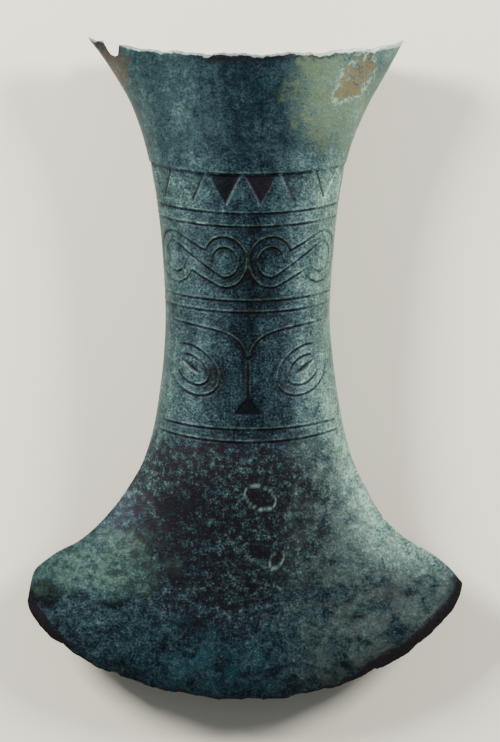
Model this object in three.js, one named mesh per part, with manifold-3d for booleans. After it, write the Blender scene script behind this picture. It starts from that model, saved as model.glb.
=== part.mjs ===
import * as THREE from 'three';
import { mergeVertices } from 'three/addons/utils/BufferGeometryUtils.js';
import Module from 'manifold-3d';

const wasm = await Module();
wasm.setup();

// A hollow cast bronze axe head: a flaring swallow-tailed socket, a waisted neck with cast
// ornament, and a crescent blade. It lies on its back with the ornament up. X runs across
// it, Y from the cutting edge to the socket's mouth, and Z up. Lengths are in millimetres.

// ---- Driving dimensions -------------------------------------------------------------

// The casting is a stack of sections. A section is named by its station, the place where it
// crosses the axis of the front face, and its two ends rise above that station.
const MOUTH = 156;
const CUTTING_EDGE = -165.8;
const WAIST = 20;

// Half-widths of the silhouette at heights along the axe: [height, half-width].
const LEFT_SIDE = [
  [166, 80.3], [149, 68.2], [130, 57.6], [108, 50.6], [85, 45.8], [57, 42.6], [27, 41.2], [0, 42.8],
  [-24, 46], [-44, 51.4], [-60, 60], [-75, 71.6], [-86, 84], [-93, 97], [-102, 107], [-116, 110.2],
];
const RIGHT_SIDE = [
  [166, 79.5], [149, 70], [130, 59.4], [108, 50.8], [85, 45.6], [57, 42.6], [27, 41], [0, 43.2],
  [-24, 46.6], [-44, 51.6], [-60, 59], [-75, 68], [-85, 79], [-93, 92.5], [-100, 101], [-107, 107.2],
];

// How far the ends of a section rise above its station at the mouth, the waist and the edge.
const RISE = {
  left: { mouth: 10, waist: 7.2, edge: 50.3, blade: 1.15, height: LEFT_SIDE },
  right: { mouth: 8, waist: 7.2, edge: 58.8, blade: 1.2, height: RIGHT_SIDE },
};
const BLADE_START = -25;
const BOW_FLATNESS = 0.3;

// [station, half-depth at the axis, sharpness of the side edges]; a sharpness of 1 is an
// ellipse and 2 a lens.
const DEPTHS = [
  [156, 32, 1.3], [120, 29.6, 1.15], [80, 28, 1.02], [20, 27.6, 1], [-25, 27.8, 1.05],
  [-50, 27, 1.2], [-85, 20.2, 1.55], [-125, 10.4, 1.7], [-150, 4.4, 1.6], [-165.8, 0.9, 1],
];
const SIDE_EDGE_RADIUS = 1.4;

// [station, half-width and half-depth of the socket's hollow].
const HOLLOW = [
  [156, 74.5, 29.8], [135, 61, 28.3], [105, 47.6, 26.4], [70, 41, 25.2], [20, 38.3, 24.9],
  [-25, 41.2, 25], [-55, 46, 22.6], [-85, 52, 16], [-115, 54, 9], [-130, 44, 5.2],
];
const HOLLOW_END = -130;

const COLUMNS = 44;
const SKIN_STEP = 10.5;
const HOLLOW_STATIONS = 10;

// The neck's section, on which the ornament is laid out by arc length from the axis.
const NECK_HALF_WIDTH = 42.8;
const NECK_HALF_DEPTH = 28;

// Cast lines stand proud of the skin, and the saw-tooth, nose and eye slits are sunk in it.
const LINE_WIDTH = 1.3;
const LINE_HEIGHT = 0.6;
const LINE_ROOT = 0.7;
const SUNK_DEPTH = 1.1;
const CLEAR = 1.2;

const TOOTH = { count: 14, first: 5.8, width: 13.6, top: 95.2, tip: 81 };
// Bands run right round the neck, or are worn away on the belly under it.
const ROUND_BANDS = [96.6, 77, 70.4, 33.4, 27.8];
const FRONT_BANDS = [-30.6, -36.8];
const WORN_BEHIND = -0.2;

// An S-shaped scroll has a curl by the axis and one at the side. Each curl has an outer and
// an inner ring, and its outer ring starts and ends where it meets the other curl's.
const SCROLL = { near: 11.6, far: 39.6, station: 52.4 };
const CURL_OUTER = { across: 11, high: 12.6, from: 25, to: 290, steps: 11 };
const CURL_INNER = { across: 6.7, high: 7.4, from: 0, to: 290, steps: 10 };

const BROW = [[42, 20.4], [26, 19.4], [18.6, 18.6], [11.6, 17], [5.4, 13.8], [1.9, 9], [0.5, 4.4]];
const NOSE = { top: 5, bottom: -16, width: 1.5, base: -23.6, baseHalfWidth: 6.6 };
const EYE = { across: 29.2, station: -2.6, tilt: 28 };
const EYE_RINGS = [
  { long: 15.6, short: 11.2, from: 45, to: 328 },
  { long: 9.6, short: 6.4, from: 40, to: 312 },
];
const EYE_SLIT = { length: 10.6, width: 1.9, outward: 1 };
const EYE_STEPS = 12;

// Two marks of the core's spacers on the blade: [across, station, half-width, half-height].
const SPACER_MARKS = [[6.2, -65.2, 7.6, 5.6], [14.4, -97, 3.4, 4.4]];
const SPACER_TILT = -18;
const SPACER_STEPS = 12;

// Wear: chips in the rim and nicks in the cutting edge, [across, width, depth].
const RIM_NOTCH = { left: -71.8, right: -63.8, bottomLeft: -68, bottomRight: -64.8, bottom: 155.3 };
const RIM_CHIPS = [[-43, 12, 1.2], [-20, 8, 0.9], [9, 10, 0.8], [36, 9, 1.1], [63, 6, 1.2]];
const EDGE_NICKS = [
  [-92, 5, 1.6], [-66, 7, 2], [-55, 6, 2.6], [-31, 5, 1.2], [24, 6, 1.2], [62, 7, 1.8], [84, 5, 1.4],
];

// Lying on its back: the tilt that brings the lip and the belly to the ground together, and
// how much is worn flat where they touch it.
const LYING_TILT = 1.25;
const WORN_FLAT = 0.9;
const GROUND = { width: 400, length: 500, thickness: 20 };
const CUT_REACH = 60;

const BRONZE = { color: 0x47605f, roughness: 0.62, metalness: 0.55 };

// ---- The form -----------------------------------------------------------------------

// A smooth curve through the rows of a table, with no overshoot between them.
function along(table, at, column) {
  const rows = table[0][0] < table[1][0] ? table : [...table].reverse();
  const last = rows.length - 1;
  if (at <= rows[0][0]) return rows[0][column];
  if (at >= rows[last][0]) return rows[last][column];
  let i = 0;
  while (at > rows[i + 1][0]) i += 1;
  const slope = (k) => (rows[k + 1][column] - rows[k][column]) / (rows[k + 1][0] - rows[k][0]);
  const tangent = (k) => {
    if (k === 0) return slope(0);
    if (k === last) return slope(last - 1);
    const before = slope(k - 1);
    const after = slope(k);
    return before * after <= 0 ? 0 : (2 * before * after) / (before + after);
  };
  const span = rows[i + 1][0] - rows[i][0];
  const f = (at - rows[i][0]) / span;
  const g = 1 - f;
  return rows[i][column] * (1 + 2 * f) * g * g + tangent(i) * span * f * g * g
    + rows[i + 1][column] * (3 - 2 * f) * f * f - tangent(i + 1) * span * g * f * f;
}

// How far one end of a section rises above its station.
function riseOf(side, station) {
  const { mouth, waist, edge, blade } = RISE[side];
  if (station > WAIST) return waist + (mouth - waist) * ((station - WAIST) / (MOUTH - WAIST)) ** 2;
  if (station > BLADE_START) return waist;
  return waist + (edge - waist) * ((BLADE_START - station) / (BLADE_START - CUTTING_EDGE)) ** blade;
}

// The bow of a section between the axis, 0, and its end, 1.
function bow(share) {
  const round = 1 - Math.sqrt(Math.max(0, 1 - share * share));
  return BOW_FLATNESS * share * share + (1 - BOW_FLATNESS) * round;
}

// A section's edge profile: z over the axis' half-depth, for a turn angle from the front.
function crown(turn, halfDepth, sharpness) {
  const level = Math.cos(turn);
  const size = Math.abs(level);
  const edge = Math.min(SIDE_EDGE_RADIUS, halfDepth);
  return Math.sign(level) * ((halfDepth - edge) * size ** sharpness + edge * size);
}

// A point of the outer skin. The turn is 0 on the front's axis and a quarter turn at +X.
function skinPoint(turn, station) {
  const side = Math.sin(turn) < 0 ? 'left' : 'right';
  const share = Math.abs(Math.sin(turn));
  const rise = riseOf(side, station);
  const halfWidth = along(RISE[side].height, station + rise, 1);
  const depth = crown(turn, along(DEPTHS, station, 1), along(DEPTHS, station, 2));
  return new THREE.Vector3(Math.sin(turn) * halfWidth, station + rise * bow(share), depth);
}

// A point of the socket's hollow, on the same sections as the skin.
function hollowPoint(turn, station) {
  const side = Math.sin(turn) < 0 ? 'left' : 'right';
  const share = Math.abs(Math.sin(turn));
  const depth = crown(turn, along(HOLLOW, station, 2), along(DEPTHS, station, 2));
  const halfWidth = along(HOLLOW, station, 1);
  const shareOfSkin = (halfWidth * share) / along(RISE[side].height, station + riseOf(side, station), 1);
  const rise = riseOf(side, station) * bow(Math.min(1, shareOfSkin));
  return new THREE.Vector3(Math.sin(turn) * halfWidth, station + rise, depth);
}

// The outward direction of the skin at a point.
function skinNormal(turn, station) {
  const step = 0.01;
  const here = skinPoint(turn, station);
  const across = skinPoint(turn + step, station).sub(here);
  const upward = skinPoint(turn, station + step * 10).sub(here);
  return across.cross(upward).normalize();
}

// A point at a height over the skin.
function raisedPoint([turn, station], height) {
  return skinPoint(turn, station).addScaledVector(skinNormal(turn, station), height);
}

// Turn angle for an arc length from the front's axis, measured round the neck.
const ARC_TABLE = [[0, 0]];
for (let degree = 1; degree <= 200; degree += 1) {
  const middle = THREE.MathUtils.degToRad(degree - 0.5);
  const speed = Math.hypot(NECK_HALF_WIDTH * Math.cos(middle), NECK_HALF_DEPTH * Math.sin(middle));
  const arc = ARC_TABLE[degree - 1][0] + speed * THREE.MathUtils.degToRad(1);
  ARC_TABLE.push([arc, THREE.MathUtils.degToRad(degree)]);
}
const HALF_GIRTH = ARC_TABLE[180][0];

function turnAt(arc) {
  return Math.sign(arc) * along(ARC_TABLE, Math.abs(arc), 1);
}

// ---- Solids ---------------------------------------------------------------------------

function solidOf(geometry) {
  const bare = geometry.clone();
  bare.deleteAttribute('normal');
  bare.deleteAttribute('uv');
  const merged = mergeVertices(bare, 1e-5);
  const vertProperties = new Float32Array(merged.attributes.position.array);
  const triVerts = new Uint32Array(merged.index.array);
  return new wasm.Manifold(new wasm.Mesh({ numProp: 3, vertProperties, triVerts }));
}

// A closed shell from rings of points, each ring closed on itself. The first and the last
// ring are closed by the triangles that closeFirst and closeLast list.
function ringShell(rings, closeFirst, closeLast) {
  const count = rings[0].length;
  const positions = rings.flat().flatMap((point) => [point.x, point.y, point.z]);
  const index = [];
  for (let r = 0; r + 1 < rings.length; r += 1) {
    for (let c = 0; c < count; c += 1) {
      const next = (c + 1) % count;
      const a = r * count + c;
      const b = r * count + next;
      const d = (r + 1) * count + c;
      const e = (r + 1) * count + next;
      index.push(a, e, d, a, b, e);
    }
  }
  const base = (rings.length - 1) * count;
  closeFirst.forEach(([a, b, c]) => index.push(a, b, c));
  closeLast.forEach(([a, b, c]) => index.push(base + a, base + c, base + b));
  const geometry = new THREE.BufferGeometry();
  geometry.setAttribute('position', new THREE.Float32BufferAttribute(positions, 3));
  geometry.setIndex(index);
  return geometry;
}

// Triangles that close a ring by ladder rungs between its front half and its back half.
function ladder(count) {
  const quarter = count / 4;
  const rungs = [];
  for (let i = 0; i < count / 2; i += 1) {
    const front = (quarter - i + count) % count;
    const frontNext = (quarter - i - 1 + count) % count;
    const back = (quarter + i) % count;
    const backNext = (quarter + i + 1) % count;
    if (front !== back) rungs.push([front, frontNext, back]);
    if (frontNext !== backNext) rungs.push([frontNext, backNext, back]);
  }
  return rungs;
}

// Stations of the skin's rings from the edge up, with the height that a band gives each.
function skinStations() {
  const half = LINE_WIDTH / 2;
  const fixed = [{ station: CUTTING_EDGE }, { station: MOUTH }];
  [...ROUND_BANDS, ...FRONT_BANDS].forEach((station) => {
    fixed.push({ station: station - half }, { station, height: LINE_HEIGHT }, { station: station + half });
  });
  fixed.sort((first, second) => first.station - second.station);
  return fixed.flatMap((ring, i) => {
    if (i + 1 === fixed.length) return [ring];
    const gap = fixed[i + 1].station - ring.station;
    const steps = Math.ceil(gap / SKIN_STEP);
    const between = Array.from({ length: steps - 1 }, (_, k) => ring.station + (gap * (k + 1)) / steps);
    return [ring, ...between.map((station) => ({ station }))];
  });
}

// The body: the outer skin from the edge up to the lip, over it, and down the hollow.
function castBody() {
  const turns = Array.from({ length: COLUMNS }, (_, c) => (c / COLUMNS) * Math.PI * 2);
  const rings = skinStations().map(({ station, height = 0 }) => turns.map((turn) => {
    const worn = FRONT_BANDS.includes(station) && Math.cos(turn) < WORN_BEHIND;
    return raisedPoint([turn, station], worn ? 0 : height);
  }));
  for (let s = 0; s <= HOLLOW_STATIONS; s += 1) {
    const station = MOUTH + (HOLLOW_END - MOUTH) * (s / HOLLOW_STATIONS);
    rings.push(turns.map((turn) => hollowPoint(turn, station)));
  }
  return solidOf(ringShell(rings, ladder(COLUMNS), ladder(COLUMNS)));
}

// A bar along [turn, station] points of the skin. Its section is a list of [aside, height]
// corners, measured from the skin.
function skinBar(path, section) {
  const points = path.map(([turn, station]) => skinPoint(turn, station));
  const rings = path.map(([turn, station], i) => {
    const normal = skinNormal(turn, station);
    const ahead = points[Math.min(i + 1, points.length - 1)];
    const behind = points[Math.max(i - 1, 0)];
    const aside = normal.clone().cross(ahead.clone().sub(behind)).normalize();
    return section.map(([across, height]) => points[i].clone()
      .addScaledVector(aside, across).addScaledVector(normal, height));
  });
  const lid = section.slice(2).map((_, k) => [0, k + 2, k + 1]);
  return solidOf(ringShell(rings, lid, lid));
}

// A cast line: a low ridge with a rounded-off crest.
function ridge(path) {
  const half = (LINE_WIDTH / 2) * (1 + LINE_ROOT / LINE_HEIGHT);
  return skinBar(path, [[-half, -LINE_ROOT], [half, -LINE_ROOT], [0, LINE_HEIGHT]]);
}

// A block through the skin under an outline of [turn, station] points round a middle point.
function skinBlock(outline, middle, depth) {
  const layer = (height) => [...outline, middle].map((place) => raisedPoint(place, height));
  const count = outline.length;
  const positions = [...layer(-depth), ...layer(CLEAR)].flatMap((p) => [p.x, p.y, p.z]);
  const upper = count + 1;
  const index = [];
  for (let i = 0; i < count; i += 1) {
    const next = (i + 1) % count;
    index.push(count, next, i, upper + count, upper + i, upper + next);
    index.push(i, next, upper + next, i, upper + next, upper + i);
  }
  const geometry = new THREE.BufferGeometry();
  geometry.setAttribute('position', new THREE.Float32BufferAttribute(positions, 3));
  geometry.setIndex(index);
  return solidOf(geometry);
}

// The ornament's paths are [arc, station] points; the skin's are [turn, station] points.
const onSkin = (path) => path.map(([arc, station]) => [turnAt(arc), station]);
const mirrored = (path) => path.map(([arc, station]) => [-arc, station]);
const castLines = (paths) => [...paths, ...paths.map(mirrored)].map((path) => ridge(onSkin(path)));

// Points on an oval, turned by a tilt, between two angles in degrees.
function ovalArc([across, station], { wide, high, from, to, steps, tilt = 0 }) {
  const lean = THREE.MathUtils.degToRad(tilt);
  return Array.from({ length: steps + 1 }, (_, i) => {
    const angle = THREE.MathUtils.degToRad(from + ((to - from) * i) / steps);
    const a = wide * Math.cos(angle);
    const b = high * Math.sin(angle);
    return [
      across + a * Math.cos(lean) - b * Math.sin(lean),
      station + a * Math.sin(lean) + b * Math.cos(lean),
    ];
  });
}

// ---- The ornament ---------------------------------------------------------------------

// The saw-tooth row: hanging triangles sunk in the skin all round the neck.
function toothBlocks() {
  const pitch = (HALF_GIRTH * 2) / TOOTH.count;
  return Array.from({ length: TOOTH.count }, (_, i) => {
    let arc = TOOTH.first + pitch * i;
    if (arc > HALF_GIRTH) arc -= HALF_GIRTH * 2;
    const half = TOOTH.width / 2;
    const outline = [
      [arc + half, TOOTH.top], [arc, TOOTH.top], [arc - half, TOOTH.top], [arc, TOOTH.tip],
    ];
    const [middle] = onSkin([[arc, (TOOTH.top * 2 + TOOTH.tip) / 3]]);
    return skinBlock(onSkin(outline), middle, SUNK_DEPTH);
  });
}

// The three cast lines of the scroll on the +X side: each curl's outer line, and the inner
// line that runs through both.
function scrollLines() {
  const { near, far, station } = SCROLL;
  const reflected = (path) => path.map(([arc, at]) => [near + far - arc, station * 2 - at]).reverse();
  const curl = ({ across, ...ring }) => ovalArc([near, station], { wide: across, ...ring });
  const meeting = THREE.MathUtils.degToRad(CURL_OUTER.from);
  const farRing = [
    far - CURL_OUTER.across * Math.cos(meeting),
    station - CURL_OUTER.high * Math.sin(meeting),
  ];
  const outer = [...curl(CURL_OUTER), farRing];
  const inner = curl(CURL_INNER);
  return [outer, reflected(outer), [...inner, ...reflected(inner)]];
}

// An eye's rings: nested eggs tilted up to the outer side and open at the outer end.
function eyeLines() {
  return EYE_RINGS.map(({ long, short, from, to }) => ovalArc([EYE.across, EYE.station], {
    wide: long, high: short, from, to, steps: EYE_STEPS, tilt: EYE.tilt,
  }));
}

function eyeSlit() {
  const tilt = THREE.MathUtils.degToRad(EYE.tilt);
  const { length, outward } = EYE_SLIT;
  return [-0.5, -0.17, 0.17, 0.5].map((share) => [
    EYE.across + outward + share * length * Math.cos(tilt),
    EYE.station + outward + share * length * Math.sin(tilt),
  ]);
}

function browLine() {
  const knots = BROW.map(([arc, station]) => new THREE.Vector3(arc, station));
  return new THREE.CatmullRomCurve3(knots).getPoints(12).map((point) => [point.x, point.y]);
}

function faceHollows() {
  const noseLine = [NOSE.top, (NOSE.top + NOSE.bottom) / 2, NOSE.bottom - 1].map((station) => [0, station]);
  const base = [
    [-NOSE.baseHalfWidth, NOSE.base], [0, NOSE.base], [NOSE.baseHalfWidth, NOSE.base], [0, NOSE.bottom],
  ];
  const sink = (path, width) => skinBar(onSkin(path), [
    [-width / 2, -SUNK_DEPTH], [width / 2, -SUNK_DEPTH], [width / 2, CLEAR], [-width / 2, CLEAR],
  ]);
  return [
    sink(noseLine, NOSE.width),
    skinBlock(onSkin(base), [0, (NOSE.base * 2 + NOSE.bottom) / 3], SUNK_DEPTH),
    sink(eyeSlit(), EYE_SLIT.width),
    sink(mirrored(eyeSlit()), EYE_SLIT.width),
  ];
}

// ---- Marks and wear ---------------------------------------------------------------------

// An upright prism over a plan outline, long enough to pass right through the casting.
function throughCut(corners) {
  const shape = new THREE.Shape(corners.map(([x, y]) => new THREE.Vector2(x, y)));
  const geometry = new THREE.ExtrudeGeometry(shape, { depth: CUT_REACH * 2, bevelEnabled: false });
  geometry.translate(0, 0, -CUT_REACH);
  return solidOf(geometry);
}

// A height on the end of a section, for a place across it.
function heightAcross(x, station) {
  const side = x < 0 ? 'left' : 'right';
  const rise = riseOf(side, station);
  const share = Math.min(1, Math.abs(x) / along(RISE[side].height, station + rise, 1));
  return station + rise * bow(share);
}

function wearCuts() {
  const { left, right, bottomLeft, bottomRight, bottom } = RIM_NOTCH;
  const above = heightAcross(left, MOUTH) + 3;
  const notch = throughCut([[left, above], [bottomLeft, bottom], [bottomRight, bottom], [right, above]]);
  const chips = RIM_CHIPS.map(([x, breadth, depth]) => {
    const rim = heightAcross(x, MOUTH);
    return throughCut([
      [x - breadth / 2, rim + 4], [x - breadth / 3, rim - depth * 0.7], [x + breadth / 5, rim - depth],
      [x + breadth / 2, rim + 4],
    ]);
  });
  const nicks = EDGE_NICKS.map(([x, breadth, depth]) => {
    const edge = heightAcross(x, CUTTING_EDGE);
    return throughCut([
      [x - breadth / 2, edge - 5], [x + breadth / 2, edge - 5], [x + breadth / 6, edge + depth],
      [x - breadth / 4, edge + depth * 0.8],
    ]);
  });
  return [notch, ...chips, ...nicks];
}

// A low oval ring left by a core spacer on the blade's front face.
function spacerRidge([across, station, wide, high]) {
  const halfBlade = along(RIGHT_SIDE, station + riseOf('right', station), 1);
  const ring = { wide, high, from: 0, to: 350, steps: SPACER_STEPS, tilt: SPACER_TILT };
  return ridge(ovalArc([across, station], ring).map(([x, at]) => [Math.asin(x / halfBlade), at]));
}

// ---- The whole axe head -----------------------------------------------------------------

function addAll(solid, others) {
  return others.reduce((sum, other) => sum.add(other), solid);
}

function cutAll(solid, others) {
  return others.reduce((rest, other) => rest.subtract(other), solid);
}

function makeAxeHead() {
  let solid = castBody();
  solid = cutAll(solid, [...toothBlocks(), ...faceHollows()]);
  solid = addAll(solid, castLines([...scrollLines(), browLine(), ...eyeLines()]));
  solid = addAll(solid, SPACER_MARKS.map(spacerRidge));
  solid = cutAll(solid, wearCuts());
  return layDown(solid);
}

// Tilts the axe on to its back, wears the resting places flat and puts the origin under the
// middle of it, on the ground.
function layDown(solid) {
  const tilted = solid.rotate([LYING_TILT, 0, 0]);
  const lowest = tilted.boundingBox().min[2];
  const raised = tilted.translate([0, 0, -lowest - WORN_FLAT]);
  const slab = new THREE.BoxGeometry(GROUND.width, GROUND.length, GROUND.thickness);
  slab.translate(0, 0, -GROUND.thickness / 2);
  const rested = raised.subtract(solidOf(slab));
  const { min, max } = rested.boundingBox();
  return rested.translate([-(min[0] + max[0]) / 2, -(min[1] + max[1]) / 2, -min[2]]);
}

function geometryOf(solid) {
  const { vertProperties, triVerts, numProp } = solid.getMesh();
  const geometry = new THREE.BufferGeometry();
  const positions = new Float32Array((vertProperties.length / numProp) * 3);
  for (let v = 0; v < positions.length / 3; v += 1) {
    positions.set(vertProperties.subarray(v * numProp, v * numProp + 3), v * 3);
  }
  geometry.setAttribute('position', new THREE.BufferAttribute(positions, 3));
  geometry.setIndex(new THREE.BufferAttribute(new Uint32Array(triVerts), 1));
  geometry.computeVertexNormals();
  return geometry;
}

const axeHead = new THREE.Mesh(geometryOf(makeAxeHead()), new THREE.MeshStandardMaterial(BRONZE));
axeHead.name = 'axe_head';

const axe = new THREE.Group();
axe.add(axeHead);

export default axe;
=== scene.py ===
"""The dressed look of a hollow cast bronze axe head, lying on its back with its ornament up.

Lengths in the classes are in millimetres and become metres where a mesh is made. X runs
across the axe head, Y from the cutting edge to the socket's mouth, and Z up.
"""
import logging
import math
from dataclasses import dataclass, field, fields
from enum import Enum
from typing import Any, Callable, Iterable, Sequence

import bpy
import numpy as np
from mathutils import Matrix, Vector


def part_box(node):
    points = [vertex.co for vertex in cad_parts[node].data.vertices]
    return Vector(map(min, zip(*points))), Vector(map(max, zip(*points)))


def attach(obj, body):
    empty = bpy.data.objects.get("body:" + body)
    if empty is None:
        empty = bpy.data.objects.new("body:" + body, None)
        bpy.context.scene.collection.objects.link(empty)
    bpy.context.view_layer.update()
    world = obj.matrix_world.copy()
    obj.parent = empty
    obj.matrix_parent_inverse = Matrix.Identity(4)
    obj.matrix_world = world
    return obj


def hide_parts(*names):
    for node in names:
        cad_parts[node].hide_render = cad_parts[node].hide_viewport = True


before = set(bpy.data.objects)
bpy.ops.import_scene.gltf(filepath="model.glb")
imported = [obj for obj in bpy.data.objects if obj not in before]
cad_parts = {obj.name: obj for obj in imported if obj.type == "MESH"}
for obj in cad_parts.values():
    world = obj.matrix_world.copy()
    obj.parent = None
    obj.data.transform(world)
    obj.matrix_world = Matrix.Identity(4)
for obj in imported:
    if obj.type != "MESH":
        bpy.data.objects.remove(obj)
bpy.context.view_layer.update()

METRES = 0.001
log = logging.getLogger("axe_head")
Table = tuple[tuple[float, ...], ...]
Path = list[tuple[float, float]]


# ---- Numbers ------------------------------------------------------------------------------

def along(table: Table, at: np.ndarray, column: int) -> np.ndarray:
    """A smooth curve through a table's rows, with no overshoot between them.

    Args:
        table: Rows that start with a height or a station.
        at: The heights or stations to read at.
        column: The column to read.

    Returns:
        The value at each place.
    """
    rows = sorted(table)
    knots = np.array([row[0] for row in rows], dtype=float)
    values = np.array([row[column] for row in rows], dtype=float)
    slopes = np.diff(values) / np.diff(knots)
    before, after = slopes[:-1], slopes[1:]
    total = np.where(before + after == 0, 1.0, before + after)
    inner = np.where(before * after <= 0, 0.0, 2 * before * after / total)
    tangents = np.concatenate([slopes[:1], inner, slopes[-1:]])
    place = np.clip(at, knots[0], knots[-1])
    i = np.clip(np.searchsorted(knots, place, side="left") - 1, 0, len(knots) - 2)
    span = knots[i + 1] - knots[i]
    f = (place - knots[i]) / span
    g = 1 - f
    return (values[i] * (1 + 2 * f) * g * g + tangents[i] * span * f * g * g
            + values[i + 1] * (3 - 2 * f) * f * f - tangents[i + 1] * span * g * f * f)


def eased(value: np.ndarray, low: float, high: float) -> np.ndarray:
    """A soft step from 0 at low to 1 at high."""
    f = np.clip((value - low) / (high - low), 0, 1)
    return f * f * (3 - 2 * f)


def unit(vectors: np.ndarray) -> np.ndarray:
    """The vectors at length one."""
    return vectors / np.linalg.norm(vectors, axis=-1, keepdims=True)


def linear(red: int, green: int, blue: int) -> tuple[float, float, float, float]:
    """A colour as the eye names it, 0 to 255, as the shader takes it."""
    def channel(value: int) -> float:
        """One channel without its display curve."""
        share = value / 255
        return share / 12.92 if share <= 0.04045 else ((share + 0.055) / 1.055) ** 2.4
    return channel(red), channel(green), channel(blue), 1.0


# ---- Node trees -----------------------------------------------------------------------------

def joined(operation: str, reflected: bool = False) -> Callable[["Level", Any], "Level"]:
    """A method of a level that adds a Math node of the level and one other value.

    Args:
        operation: The Math node's operation.
        reflected: Whether the other value comes first.

    Returns:
        The method.
    """
    def method(level: "Level", other: Any) -> "Level":
        """The two values joined."""
        pair = (other, level) if reflected else (level, other)
        return level.bench.level("ShaderNodeMath", {"operation": operation}, dict(enumerate(pair)))
    return method


class Level:
    """A number or vector in a node tree, with Python's operators adding the Math nodes."""

    def __init__(self, bench: "Bench", socket: Any) -> None:
        """Keeps the bench that the socket is on."""
        self.bench = bench
        self.socket = socket

    __add__, __radd__ = joined("ADD"), joined("ADD", reflected=True)
    __sub__, __rsub__ = joined("SUBTRACT"), joined("SUBTRACT", reflected=True)
    __mul__, __rmul__ = joined("MULTIPLY"), joined("MULTIPLY", reflected=True)
    __truediv__ = joined("DIVIDE")
    most = joined("MAXIMUM")

    def __abs__(self) -> "Level":
        """Size without its sign."""
        return self.bench.level("ShaderNodeMath", {"operation": "ABSOLUTE"}, {0: self})

    def step(self, low: float, high: float) -> "Level":
        """A soft step from 0 at low to 1 at high; low may be the larger.

        Args:
            low: Where the step starts.
            high: Where the step ends.

        Returns:
            The stepped level.
        """
        return self.bench.level("ShaderNodeMapRange", {"interpolation_type": "SMOOTHSTEP", "clamp": True},
                                {0: self, 1: low, 2: high, 3: 0.0, 4: 1.0})

    def bump(self, middle: float, reach: float) -> "Level":
        """1 at the middle, and 0 further than the reach from it."""
        return abs(self - middle).step(reach, 0.0)


class Bench:
    """A node tree with the few ways of adding nodes that the makers below use."""

    def __init__(self, tree: bpy.types.NodeTree) -> None:
        """Keeps the tree."""
        self.tree = tree

    def node(self, kind: str, settings: dict[str, Any] | None = None,
             inputs: dict[Any, Any] | None = None) -> bpy.types.Node:
        """Adds a node.

        Args:
            kind: The node's type.
            settings: Its own settings, which are set first.
            inputs: Values, sockets or levels for its inputs, by name or place.

        Returns:
            The node.
        """
        node = self.tree.nodes.new(kind)
        for name, value in (settings or {}).items():
            if name == "stops":
                self.set_stops(node.color_ramp, value)
            else:
                setattr(node, name, value)
        for key, value in (inputs or {}).items():
            socket = node.inputs[key]
            if isinstance(value, Level):
                self.tree.links.new(value.socket, socket)
            elif isinstance(value, bpy.types.NodeSocket):
                self.tree.links.new(value, socket)
            else:
                socket.default_value = value
        return node

    def set_stops(self, ramp: bpy.types.ColorRamp, stops: Sequence[tuple[float, tuple[float, ...]]]) -> None:
        """Gives a colour ramp its stops.

        Args:
            ramp: The ramp.
            stops: The place and colour of each stop.
        """
        while len(ramp.elements) < len(stops):
            ramp.elements.new(0.5)
        for element, (position, colour) in zip(ramp.elements, stops):
            element.position, element.color = position, colour

    def level(self, kind: str, settings: dict[str, Any] | None = None,
              inputs: dict[Any, Any] | None = None, output: Any = 0) -> Level:
        """Adds a node and returns one of its outputs as a level."""
        return Level(self, self.node(kind, settings, inputs).outputs[output])

    def scaled(self, vector: Any, factor: Any) -> Level:
        """A vector times a number."""
        return self.level("ShaderNodeVectorMath", {"operation": "SCALE"}, {0: vector, "Scale": factor})

    def moved(self, vector: Any, offset: Any) -> Level:
        """A vector with another added to it."""
        return self.level("ShaderNodeVectorMath", {"operation": "ADD"}, {0: vector, 1: offset})

    def noise(self, place: Level, size: float, detail: float = 3.0, rough: float = 0.55,
              shift: float = 0.0, twist: float = 0.0) -> Level:
        """Cloudy noise about 0.5.

        Args:
            place: Where to read it, in millimetres.
            size: The size of its blotches in millimetres.
            detail: How many finer layers it has.
            rough: How strong the finer layers are.
            shift: Moves it to another part of the same noise.
            twist: How far it is warped by itself.

        Returns:
            The noise.
        """
        return self.level("ShaderNodeTexNoise", {"noise_dimensions": "3D"},
                          {"Vector": self.moved(place, (shift, shift * 0.7, -shift)), "Scale": 1.0 / size,
                           "Detail": detail, "Roughness": rough, "Distortion": twist})

    def cells(self, place: Level, size: float) -> Level:
        """Distance to the nearest of scattered points, in cell sizes."""
        return self.level("ShaderNodeTexVoronoi", {"feature": "F1"}, {"Vector": place, "Scale": 1.0 / size})

    def blend(self, share: Any, first: Any, second: Any) -> Level:
        """A colour from the first at 0 to the second at 1."""
        node = self.node("ShaderNodeMix", {"data_type": "RGBA", "clamp_factor": True},
                         {0: share, 6: first, 7: second})
        return Level(self, node.outputs[2])

    def attribute(self, name: str) -> Level:
        """A named attribute of the mesh, in Geometry Nodes."""
        return self.level("GeometryNodeInputNamedAttribute", {"data_type": "FLOAT"}, {"Name": name})

    def pick(self, name: str) -> Level:
        """A named attribute of the mesh, in a material."""
        return self.level("ShaderNodeAttribute", {"attribute_name": name}, {}, "Fac")


# ---- The casting's form -----------------------------------------------------------------------

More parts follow.
